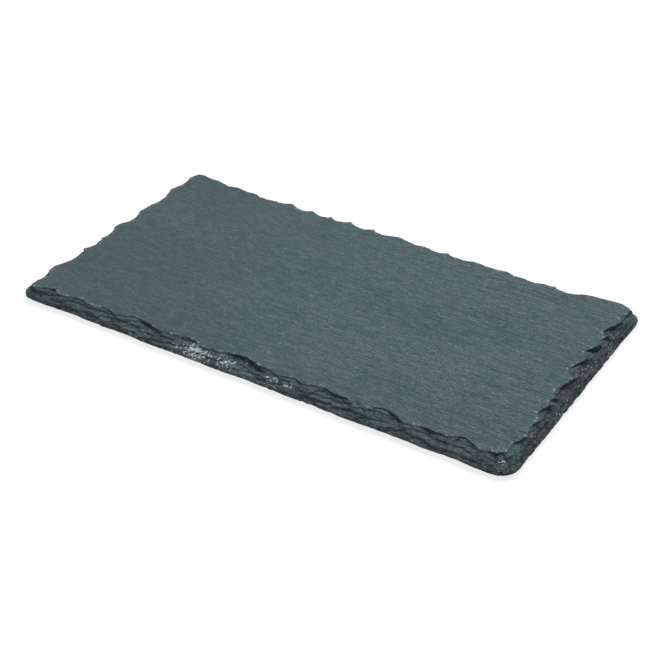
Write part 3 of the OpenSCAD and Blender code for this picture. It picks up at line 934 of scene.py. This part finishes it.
def broken_colour(m, grainy, painted_light_mark, layers, mottle):
    """Broken slate: green and blue stone in fine layers, with some grit, times the painted light
    and shade of the shade mark.
    """
    patches = m.noise((160, 160, 260), detail=3)
    tint = m.mix(m.between(patches, 0.42, 0.58), GREEN_STONE, BLUE_STONE)
    gritty = m.between(m.noise((300, 300, 500)), 0.45, 0.6)
    tint = m.paint(tint, GRITTY_STONE, m.times(grainy, gritty), 0.6)
    grit = m.noise((1500, 1500, 2400))
    shade = m.swings((layers, 0.34), (mottle, 0.58), (grit, 0.45))
    shade = m.times(shade, m.plus(m.times(grainy, 0.9), 1.0))
    light = m.mix(m.between(shade, -1.1, 1.1), grey(0.30), grey(1.85))
    rock = m.mix(1.0, tint, light, "MULTIPLY")
    doubled = m.mix(1.0, rock, grey(2), "MULTIPLY")
    # Painted light and shade: the rock colour times the shade mark
    return m.mix(m.between(painted_light_mark, 0.0, 2.0), grey(0), doubled)


def add_crevices(m, rock, wall, grainy):
    """Painted shade in crevices and on the wall under the rim, and ragged dark hollows."""
    uneven = m.between(m.noise((420, 420, 700)), 0.36, 0.6, 0.25, 0.85)
    # Painted shade in crevices, hollows, steep bits and under the rim
    rock = m.paint(rock, CREVICE_PAINTED_SHADE, m.mark("painted_crevice_shade"), uneven)
    hollows = m.between(m.noise((330, 190, 520), detail=4, rough=0.65, warp=1.0), 0.50, 0.58)
    rock = m.paint(rock, HOLLOW_DARK, hollows, m.plus(m.times(grainy, 0.37), 0.28))
    # Painted shade on the wall under the rim
    return m.paint(rock, WALL_PAINTED_SHADE, wall, 0.78)


def add_sparks(m, rock, grainy):
    """Bright specks, a few more where the stone is grainy."""
    spark = m.specks((650, 650, 1000), 0.30, 0.16)
    rare = m.plus(m.noise((110, 110, 240)), m.times(grainy, 0.05))
    return m.paint(rock, SPARK_LIGHT, m.times(spark, m.between(rare, 0.57, 0.64)), 0.75)


def add_nicks_and_chalk(m, colour, broken):
    """Light nicks on the rim and the lower edge, and chalky rubbed patches."""
    scuff = m.mark("scuff")
    ragged = m.between(m.noise((900, 900, 900), rough=0.5), 0.44, 0.56)
    colour = m.paint(colour, NICK_LIGHT, m.times(m.mark("nick"), ragged), 0.9)
    flaky = m.noise((560, 560, 1000), detail=3, warp=1.5)
    crumbs = m.between(m.plus(scuff, m.swing(flaky, 0.7, 0.38, 0.62)), 0.62, 0.74)
    dust = m.between(m.plus(scuff, m.swing(flaky, 0.5)), 0.15, 0.7)
    rubbed = m.times(m.between(scuff, 0.0, 0.12), broken)
    colour = m.paint(colour, CHALK_DUST, m.times(dust, rubbed), 0.45)
    return m.paint(colour, CHALK_WHITE, m.times(crumbs, rubbed), 0.95)


def slate_material():
    m = Nodes("slate_riven")
    broken, wall = m.mark("broken"), m.mark("wall")
    grainy, painted_light_mark = m.mark("grainy"), m.mark("shade")
    ribs = m.noise((190, 1650, 1650), rough=0.55, warp=0.6, turn=-0.01)
    grain = m.noise((800, 2400, 2400), turn=0.1)
    layers = m.noise((90, 90, 2600), detail=3, warp=0.4)
    mottle = m.noise((520, 520, 1500), detail=3, rough=0.65)

    split = add_flecks(m, split_colour(m, ribs, grain))
    rock = broken_colour(m, grainy, painted_light_mark, layers, mottle)
    rock = add_sparks(m, add_crevices(m, rock, wall, grainy), grainy)
    colour = m.mix(m.calculate("MAXIMUM", broken, wall), split, rock)
    colour = add_nicks_and_chalk(m, colour, broken)

    split_rough = m.between(m.weighted(ribs, 0.6, grain, 0.4), 0.3, 0.7, 0.84, 0.66)
    rough = m.mix(broken, split_rough, m.between(mottle, 0.3, 0.7, 0.82, 0.62))
    fine = m.bump(m.weighted(ribs, 0.55, grain, 0.45), 0.00018, 0.55)
    rocky = m.bump(m.weighted(mottle, 0.7, layers, 0.3), 0.0005,
                   m.between(painted_light_mark, 0.7, 1.0, 0.7, 0.9))
    return m.finish(Base_Color=colour, Roughness=rough, Specular_IOR_Level=0.16,
                    Normal=m.mix(broken, fine, rocky))


# The feet and their adhesive
RUBBER_DARK, RUBBER_LIGHT = rgb(0.012, 0.012, 0.013), rgb(0.020, 0.020, 0.021)
RUBBER_DUST = rgb(0.13, 0.13, 0.125)
FILM_DARK, FILM_LIGHT = rgb(0.50, 0.47, 0.38), rgb(0.62, 0.59, 0.50)
FILM_FIBRE = rgb(0.72, 0.70, 0.63)


def rubber_material():
    m = Nodes("soft_rubber")
    grain = m.noise((4200, 4200, 4200), detail=3)
    cloud = m.noise((260, 260, 260), detail=3, rough=0.55)
    dust = m.between(m.noise((900, 900, 900), detail=4, rough=0.65), 0.56, 0.72)
    colour = m.mix(m.between(cloud, 0.35, 0.65), RUBBER_DARK, RUBBER_LIGHT)
    return m.finish(Base_Color=m.paint(colour, RUBBER_DUST, dust, 0.22),
                    Roughness=m.between(grain, 0.3, 0.7, 0.62, 0.82),
                    Normal=m.bump(m.weighted(grain, 0.8, cloud, 0.2), 0.0001, 0.5))


def adhesive_material():
    m = Nodes("adhesive_film")
    fibre = m.noise((2600, 2600, 700), detail=4, warp=0.8)
    blotch = m.noise((420, 420, 420), detail=3, rough=0.5)
    colour = m.mix(m.between(blotch, 0.35, 0.65), FILM_DARK, FILM_LIGHT)
    return m.finish(Base_Color=m.paint(colour, FILM_FIBRE, m.between(fibre, 0.52, 0.7), 0.4),
                    Roughness=m.between(fibre, 0.3, 0.7, 0.42, 0.62),
                    Normal=m.bump(fibre, 0.00005, 0.5))


# Floor, light and camera
FLOOR_REACH = 4.0
FLOOR_DROP = 0.00005  # a hair under the feet
FLOOR_DARK, FLOOR_LIGHT = grey(0.55), grey(0.57)  # the colour that lights the board
FLOOR_SEEN = grey(0.30)  # the colour that is seen, under a glow
GLOW_SPAN, GLOW = (0.25, 1.0), (0.79, 0.92)  # it grows with the distance
KEY_PLACE, KEY_SIZE, KEY_WATTS = (0.02, 0.34, 0.78), 0.55, 5.1
WORLD_LIGHT, WORLD_SEEN = 0.33, 1.0


def seen_rays(tree):
    """1 for camera, glossy and transmission rays, 0 for all others."""
    path = tree.nodes.new("ShaderNodeLightPath")
    seen = path.outputs["Is Camera Ray"]
    for kind in ("Is Glossy Ray", "Is Transmission Ray"):
        either = tree.nodes.new("ShaderNodeMath")
        either.operation = "MAXIMUM"
        tree.links.new(seen, either.inputs[0])
        tree.links.new(path.outputs[kind], either.inputs[1])
        seen = either.outputs["Value"]
    return seen


def floor_material():
    m = Nodes("pale_floor")
    seen = seen_rays(m.tree)
    away = m.add("ShaderNodeVectorMath", {0: m.spot}, operation="LENGTH")
    glow = m.between(away.outputs["Value"], *GLOW_SPAN, *GLOW)
    grain = m.noise((30, 30, 30), rough=0.5)
    lighting = m.mix(m.between(grain, 0.3, 0.7), FLOOR_DARK, FLOOR_LIGHT)
    return m.finish(Base_Color=m.mix(seen, lighting, FLOOR_SEEN), Roughness=1.0,
                    Specular_IOR_Level=0.0, Emission_Color=grey(1),
                    Emission_Strength=m.times(seen, glow))


def add_object(name, data):
    made = bpy.data.objects.new(name, data)
    bpy.context.scene.collection.objects.link(made)
    return made


def make_floor():
    mesh = bpy.data.meshes.new("floor")
    corners = [(-1, -1, 0), (1, -1, 0), (1, 1, 0), (-1, 1, 0)]
    mesh.from_pydata([Vector(corner) * FLOOR_REACH for corner in corners], [], [(0, 1, 2, 3)])
    mesh.materials.append(floor_material())
    made = add_object("floor", mesh)
    made.location.z = -FLOOR_DROP
    return made


def add_key_light():
    """A soft square lamp behind the board."""
    data = bpy.data.lights.new("key_light", "AREA")
    data.size = KEY_SIZE
    data.energy = KEY_WATTS
    lamp = add_object("key_light", data)
    lamp.location = KEY_PLACE
    lamp.rotation_euler = (-Vector(KEY_PLACE)).to_track_quat("-Z", "Y").to_euler()


def make_world():
    """Even light from all round and a white background."""
    world = bpy.data.worlds.new("studio")
    bpy.context.scene.world = world
    world.use_nodes = True
    tree = world.node_tree
    level = tree.nodes.new("ShaderNodeMapRange")
    tree.links.new(seen_rays(tree), level.inputs["Value"])
    level.inputs["To Min"].default_value = WORLD_LIGHT
    level.inputs["To Max"].default_value = WORLD_SEEN
    background = tree.nodes["Background"]
    tree.links.new(level.outputs["Result"], background.inputs["Strength"])
    background.inputs["Color"].default_value = grey(1)


# The camera stands where the photo's did
CAMERA_TURN = math.radians(31.3171)
CAMERA_HEIGHT = math.radians(33.9843)
CAMERA_ROLL = math.radians(0.614)
CAMERA_AWAY = 0.6737442
CAMERA_ASIDE, CAMERA_UP = 0.0029694, -0.0124928
CAMERA_AIM = Vector((-0.0012, 0, slab_low.z))
FOCAL_PIXELS, FRAME_PIXELS = 1480.7232, 665
SENSOR, NEAREST_SEEN = 36, 0.01


def add_camera():
    back = Vector((math.sin(CAMERA_TURN) * math.cos(CAMERA_HEIGHT),
                   -math.cos(CAMERA_TURN) * math.cos(CAMERA_HEIGHT),
                   math.sin(CAMERA_HEIGHT)))
    level_right = (-back).cross(Vector((0, 0, 1))).normalized()
    level_up = level_right.cross(-back)
    c, s = math.cos(CAMERA_ROLL), math.sin(CAMERA_ROLL)
    right, up = c * level_right + s * level_up, c * level_up - s * level_right
    data = bpy.data.cameras.new("camera")
    data.sensor_width = SENSOR
    data.lens = FOCAL_PIXELS * SENSOR / FRAME_PIXELS
    data.clip_start = NEAREST_SEEN
    camera = add_object("camera", data)
    matrix = Matrix((right, up, back)).transposed().to_4x4()
    matrix.translation = back * CAMERA_AWAY + right * CAMERA_ASIDE + up * CAMERA_UP + CAMERA_AIM
    camera.matrix_world = matrix
    bpy.context.scene.camera = camera


# Pieces
slab = add_object("slate_board", build_slab())
slab.data.materials.append(slate_material())
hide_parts("slate_slab")
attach(slab, "root")

finishes = {"foot": rubber_material(), "adhesive": adhesive_material()}
for name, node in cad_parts.items():
    kind = name.split("_")[0]
    if kind in finishes:
        node.data.materials.clear()
        node.data.materials.append(finishes[kind])

floor = make_floor()
add_key_light()
make_world()
add_camera()
bpy.context.scene.view_settings.view_transform = "Standard"
